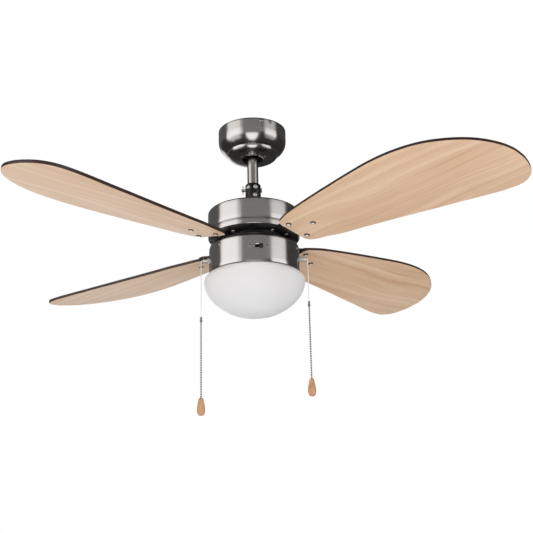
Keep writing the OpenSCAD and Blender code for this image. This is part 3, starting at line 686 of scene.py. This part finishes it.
v, f = screw_template(3.6, 2.2, 1.85, 5.2)
v2, f2 = screw_template(3.2, 2.0, 1.85, 3.6)
stand_for(joined("m4_screws", [(v, f, at(a, 23, HOUSE_TOP + 0.02, False)) for a in (30, 150, 270)] + [(v2, f2, at(a, SWITCH_R + 0.02, -239.5)) for a in SIDE_AZ], M["nickel_shaded"]), "hanging_frame", "housing_screws_m4")

sr = SWITCH_R
sh = [(sr - 12, -223.2)] + [(sr - 12 + 12 * math.cos(math.radians(a)), -235 + 12 * math.sin(math.radians(a))) for a in range(88, -1, -4)]
sh += [(sr, -240), (sr, -248), (sr, -256), (sr, -264), (sr, -272), (sr, RIM_Z + 0.5), (sr - 0.2, RIM_Z + 0.1), (sr - 0.6, RIM_Z), (sr - 1.1, RIM_Z + 0.15), (sr - 1.2, RIM_Z + 0.5)]
sh += [(sr - 1.2, -256), (sr - 1.2, -235)] + [(sr - 12 + 10.8 * math.cos(math.radians(a)), -235 + 10.8 * math.sin(math.radians(a))) for a in range(10, 89, 13)] + [(sr - 12, -224.1)]
switch = lathe("switch_housing_shell", sh, M["nickel"], n=192, sharp=40)
boolean_cut(switch, [block("c", (-2.9, -6.3, -5), (2.9, 6.3, 5), at(REV_AZ, SWITCH_R, REV_Z))])
stand_for(switch, "hanging_frame", "switch_housing")

v, f = screw_template(2.8, 1.8, 1.35, 8)
v2, f2 = screw_template(2.4, 1.4, 1.25, 5.6)
stand_for(joined("m3_screws", [(v, f, at(45 + 90 * k, 64, PAN_Z - 1.22, False) @ FLIP) for k in range(4)] + [(v2, f2, at(REV_AZ + s, SWITCH_R + 0.02, REV_Z)) for s in (-10.75, 10.75)], M["nickel_shaded"]), "hanging_frame", "housing_screws_m3")

# ---------------------------------------------------------------- glass bowl

tab_r = sr - 6.2
neck = tab_r - 0.6
br, bz, bt = 89.0, -354.5, 2.5
bowl_o = [(neck - 1.2, -270), (neck - 0.3, -270.3), (neck, -271), (neck, -275), (neck, -279)] + cr([(neck + 0.6, -280.6), (neck + 2.6, -281.5), (br - 9, -281.8), (br - 4.6, -284), (br - 1.6, -287.4), (br - 0.3, -291), (br, -294), (br - 0.9, -300), (br - 3.9, -309), (br - 9.6, -319), (br - 18.8, -329), (br - 32, -339.2), (br - 48, -347.8), (br - 68, bz + 1.2), (0, bz)], 8)
shell_in = side(cr([(neck, -279), (neck + 0.6, -280.6), (neck + 2.6, -281.5), (br - 9, -281.8), (br - 4.6, -284), (br - 1.6, -287.4), (br - 0.3, -291), (br, -294), (br - 0.9, -300), (br - 3.9, -309), (br - 9.6, -319), (br - 18.8, -329), (br - 32, -339.2), (br - 48, -347.8), (br - 68, bz + 1.2), (0, bz)], 3), bt)
bowl_i = [(r, z) for r, z in reversed(shell_in)]
bowl_i[0] = (0, bz + bt)
bowl_i += [(neck - bt, -275), (neck - bt, -270.4), (neck - bt + 0.4, -270)]
bowl = lathe("opal_bowl", bowl_o + bowl_i, M["opal"], n=160, closed=True, sharp=60)
lugs = []
for a0 in (21, 141, 261):
    vv, ff = [], []
    prof = [(neck - 1, -271.4), (sr - 3.6, -271.4), (sr - 3.2, -271.8), (sr - 3.2, -274.4), (sr - 3.6, -274.8), (neck - 1, -274.8)]
    steps = 12
    for i in range(steps + 1):
        a = math.radians(a0 + 18 * i / steps)
        for r, z in prof:
            vv.append((r * math.cos(a) * MM, r * math.sin(a) * MM, z * MM))
    k = len(prof)
    for i in range(steps):
        for j in range(k):
            ff.append((i * k + j, i * k + (j + 1) % k, (i + 1) * k + (j + 1) % k, (i + 1) * k + j))
    ff.append(tuple(range(k)))
    ff.append(tuple(reversed(range(steps * k, steps * k + k))))
    lugs.append((vv, ff, Matrix.Identity(4)))
lug = joined("bowl_lugs", lugs, M["opal"])
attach(lug, "bowl")
stand_for(bowl, "bowl", "glass_shade")

# ---------------------------------------------------------------- blades

LEAD = [(97, 30), (103, 38), (115, 43.5), (134, 48), (165, 57), (203, 64), (245, 72.5), (290, 82), (336, 92), (380, 101), (420, 110), (455, 116), (480, 116.5), (497, 110), (509, 98), (517, 80), (521, 62)]
TRAIL = [(521, 62), (520, 34), (509, 5), (488, -23), (458, -46), (422, -63), (379, -72), (333, -73.5), (286, -69.5), (240, -64), (198, -58.5), (162, -53), (133, -48), (115, -42.5), (102, -37), (97, -28)]


def blade_mesh(k):
    line = cr(list(reversed(TRAIL)), 8)[:-1] + cr(list(reversed(LEAD)), 8)
    line = [Vector((x, y)) for x, y in line]
    n = len(line)
    normals = []
    for i in range(n):
        d = (line[(i + 1) % n] - line[(i - 1) % n]).normalized()
        normals.append(Vector((d.y, -d.x)))  # outward, since the outline runs counter-clockwise
    area = sum(line[i].x * line[(i + 1) % n].y - line[(i + 1) % n].x * line[i].y for i in range(n))
    if area < 0:
        normals = [-q for q in normals]
    b = 0.9
    prof = [(b, 0.0), (b * 0.55, 0.06), (0.2, 0.3), (0.0, b), (0.0, BLADE_T / 2), (0.0, BLADE_T - b), (0.2, BLADE_T - 0.3), (b * 0.55, BLADE_T - 0.06), (b, BLADE_T)]
    verts, faces, idx = [], [], []
    for off, z in prof:
        for i in range(n):
            p = line[i] - normals[i] * off
            verts.append((p.x * MM, p.y * MM, z * MM))
    for j in range(len(prof) - 1):
        for i in range(n):
            i2 = (i + 1) % n
            faces.append((j * n + i, j * n + i2, (j + 1) * n + i2, (j + 1) * n + i))
            idx.append(0 if j < 2 else 1)
    faces.append(tuple(reversed(range(n))))
    idx.append(0)
    last = (len(prof) - 1) * n
    faces.append(tuple(range(last, last + n)))
    idx.append(2)
    mt = on_blade(k)
    o = mesh_object(f"blade_{k + 1}_veneered", [mt @ Vector(p) for p in verts], faces, [MAPLE[k], M["edge"], WALNUT[k]], idx, sharp=50)
    back = mt.inverted()
    uv = o.data.uv_layers.new(name="grain")
    flat = [back @ v.co for v in o.data.vertices]
    for lp_ in o.data.loops:
        uv.data[lp_.index].uv = (flat[lp_.vertex_index].x, flat[lp_.vertex_index].y)
    o.visible_glossy = False
    return o


for k in range(4):
    stand_for(blade_mesh(k), "rotor", f"blade_{k + 1}")
    o = bevelled(f"blade_arm_{k + 1}", M["arm_black"], 0.7, 3)
    o.visible_glossy = False
    stand_for(o, "rotor", f"blade_arm_{k + 1}")

v, f = screw_template(4.8, 2.3, 1.75, 9.8)
# faces near each dome's edge take the dark brown ring, painted shade and painted reflection of the wood
painted_shade_faces = [int(sum(math.hypot(v[i][0], v[i][1]) for i in q) / len(q) > 3.1 * MM) for q in f]
stand_for(joined("blade_dome_screws", [(v, f, on_blade(k) @ Matrix.Translation((h[0] * MM, h[1] * MM, -0.00002)) @ FLIP) for k in range(4) for h in HOLES], [M["dome"], M["dome_painted_shade"]], painted_shade_faces), "rotor", "blade_screws")
v, f = screw_template(3.6, 2.3, 1.75, 7.6)
stand_for(joined("arm_pan_screws", [(v, f, at(ARM_AZ + 90 * k + s, 67, -216.52, False) @ FLIP) for k in range(4) for s in (-14.5, 14.5)], M["nickel_shaded"]), "rotor", "arm_screws")
for n_ in ("blade_dome_screws", "arm_pan_screws"):
    bpy.data.objects[n_].visible_glossy = False          # as the blades and arms

# ---------------------------------------------------------------- small finished pieces

for n_, b_, m_, w_ in (("cord_outlets", "hanging_frame", "screw", 0.25), ("reverse_slider", "reverse_knob", "black_plastic", 0.3), ("clevis_pin", "hanging_frame", "zinc", 0.3),
                       ("rotor_lower_shell", "rotor", "black", 0.6), ("capacitor", "hanging_frame", "black_plastic", 1.2)):
    stand_for(bevelled(n_, M[m_], w_, 2), b_, n_)

CAD_MATS = {
    "hanger_bracket": "zinc", "terminal_block": "white_plastic", "hanger_pin": "zinc", "hanger_ball": "black_plastic", "hairpin_clip": "zinc",
    "motor_shaft": "zinc", "stator_core": "lam", "stator_windings": "copper", "bearing_inner_races": "steel", "bearing_outer_races": "steel", "bearing_balls": "steel",
    "switch_plate": "black", "shaft_nut": "zinc", "speed_switch": "white_plastic", "light_switch": "white_plastic", "reverse_switch": "black_plastic", "standoffs": "zinc",
    "lamp_pan": "white_enamel", "lamp_holder": "porcelain", "bulb_base": "screw", "bulb_glass": "bulb", "rotor_upper_shell": "alu", "rotor_ring": "alu",
    "speed_drum": "white_plastic", "light_drum": "white_plastic",
}
for n_, m_ in CAD_MATS.items():
    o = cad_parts[n_]
    if not o.material_slots:
        o.data.materials.append(M[m_])
    for s in o.material_slots:
        s.material = M[m_]

# ---------------------------------------------------------------- studio

floor_mat, nt, b = material("floor")
fn = noise(nt, obj_coords(nt), 3.0, 2.0, 0.5)
nt.links.new(ramp(nt, fn, [(0.3, (0.86, 0.86, 0.86)), (0.7, (0.88, 0.88, 0.88))]), b.inputs["Base Color"])
b.inputs["Roughness"].default_value = 0.9
floor = mesh_object("floor", [(-8, -8, -2.1), (8, -8, -2.1), (8, 8, -2.1), (-8, 8, -2.1)], [(0, 1, 2, 3)], floor_mat)
floor.visible_glossy = False

world = bpy.data.worlds.new("studio")
scene.world = world
world.use_nodes = True
nt = world.node_tree
nt.nodes.clear()
out = nt.nodes.new("ShaderNodeOutputWorld")
lp = nt.nodes.new("ShaderNodeLightPath")
tc = nt.nodes.new("ShaderNodeTexCoord")
xyz = node(nt, "ShaderNodeSeparateXYZ", {"Vector": tc.outputs["Generated"]})
# azimuth from the -Y side (0 is towards the viewer, + is to the viewer's right) and elevation, in degrees
azi = math_node(nt, "MULTIPLY", math_node(nt, "ARCTAN2", xyz.outputs[0], math_node(nt, "MULTIPLY", xyz.outputs[1], -1.0)), 180 / math.pi)
ele = math_node(nt, "MULTIPLY", math_node(nt, "ARCSINE", xyz.outputs[2]), 180 / math.pi)
azi_abs = math_node(nt, "ABSOLUTE", azi)


def window(v, lo, hi, soft_lo, soft_hi):
    """1 between lo and hi, falling to 0 over the soft margins outside them."""
    up_ = node(nt, "ShaderNodeMapRange", {"Value": v, "From Min": lo - soft_lo, "From Max": lo, "To Min": 0.0, "To Max": 1.0}, interpolation_type="SMOOTHSTEP").outputs[0]
    dn_ = node(nt, "ShaderNodeMapRange", {"Value": v, "From Min": hi, "From Max": hi + soft_hi, "To Min": 1.0, "To Max": 0.0}, interpolation_type="SMOOTHSTEP").outputs[0]
    return math_node(nt, "MULTIPLY", up_, dn_)


def panel(az_lo, az_hi, el_lo, el_hi, level, soft=6.0, el_soft=9.0, v=None):
    w = math_node(nt, "MULTIPLY", window(azi if v is None else v, az_lo, az_hi, soft, soft), window(ele, el_lo, el_hi, el_soft, el_soft))
    return math_node(nt, "MULTIPLY", w, level)


total = None
for p in (panel(-400, 400, -80, 31, 0.035, 1, 8),          # dark room
          panel(-33, 31, -8, 24, 0.25, 2, 6),             # dark grey card in front
          panel(-33, 31, 23, 30, 0.36, 2, 4),
          panel(-20, 19, -76, -18, 1.45, 4, 6),            # low front softbox
          panel(-90, -42, -14, 24, 1.45, 7, 6),            # left softbox
          panel(-84, -46, 22, 29, 1.35, 12, 5),            # weaker towards its top
          panel(-45, -32, -14, 22, 0.95, 2, 6),            # and towards its inner side
          panel(-45, -32, 21, 29, 0.45, 3, 5),
          panel(-88, -45, -38, -14, 0.70, 4, 8),           # and its lower, weaker edge
          panel(46, 84, -12, 19, 1.35, 6, 6),              # right softbox
          panel(52, 72, 20, 24, 0.85, 8, 3),               # its weaker upper part
          panel(46, 84, 20, 24, 0.42, 6, 3),
          panel(44, 84, 25, 30, 0.62, 6, 3),
          panel(30, 47, 12, 24, 0.38, 2, 4),               # grey card beside it
          panel(50, 84, -30, -12, 0.42, 4, 8),
          panel(-160, -104, 8, 30, 0.12, 8, 6),
          panel(100, 160, 8, 30, 0.06, 8, 6),
          panel(-400, -156, -9, 8, 1.1, 10, 8),             # pale backdrop near the horizon, behind on the left
          panel(166, 400, 12, 30, 0.35, 6, 6)):
    total = p if total is None else math_node(nt, "MAXIMUM", total, p)
refl = node(nt, "ShaderNodeCombineColor", {0: total, 1: math_node(nt, "MULTIPLY", total, 0.985), 2: math_node(nt, "MULTIPLY", total, 0.975)})
bg_refl = node(nt, "ShaderNodeBackground", {"Color": refl.outputs[0], "Strength": 1.0})
bg_fill = node(nt, "ShaderNodeBackground", {"Color": (1.0, 0.99, 0.985, 1), "Strength": 0.72})
bg_cam = node(nt, "ShaderNodeBackground", {"Color": (1, 1, 1, 1), "Strength": 1.0})
mix1 = nt.nodes.new("ShaderNodeMixShader")
nt.links.new(lp.outputs["Is Glossy Ray"], mix1.inputs[0])
nt.links.new(bg_fill.outputs[0], mix1.inputs[1])
nt.links.new(bg_refl.outputs[0], mix1.inputs[2])
mix2 = nt.nodes.new("ShaderNodeMixShader")
nt.links.new(lp.outputs["Is Camera Ray"], mix2.inputs[0])
nt.links.new(mix1.outputs[0], mix2.inputs[1])
nt.links.new(bg_cam.outputs[0], mix2.inputs[2])
nt.links.new(mix2.outputs[0], out.inputs[0])


def area_light(name, loc, target, size, power, size_y=None):
    ld = bpy.data.lights.new(name, "AREA")
    ld.energy = power
    ld.size = size
    if size_y:
        ld.shape = "RECTANGLE"
        ld.size_y = size_y
    ld.color = (1.0, 0.985, 0.965)
    o = bpy.data.objects.new(name, ld)
    scene.collection.objects.link(o)
    o.location = loc
    d = Vector(target) - Vector(loc)
    o.rotation_euler = d.to_track_quat("-Z", "Y").to_euler()
    o.visible_glossy = False
    return o


area_light("front_low", (-0.1, -1.9, -1.75), (0, 0, -0.25), 1.6, 19)
area_light("left_soft", (-2.2, -1.2, -1.1), (0, 0, -0.25), 1.5, 16)
area_light("right_soft", (2.2, -1.2, -0.9), (0, 0, -0.25), 1.5, 11)
area_light("top_soft", (0.3, -0.6, 1.6), (0, 0, -0.25), 1.6, 16)
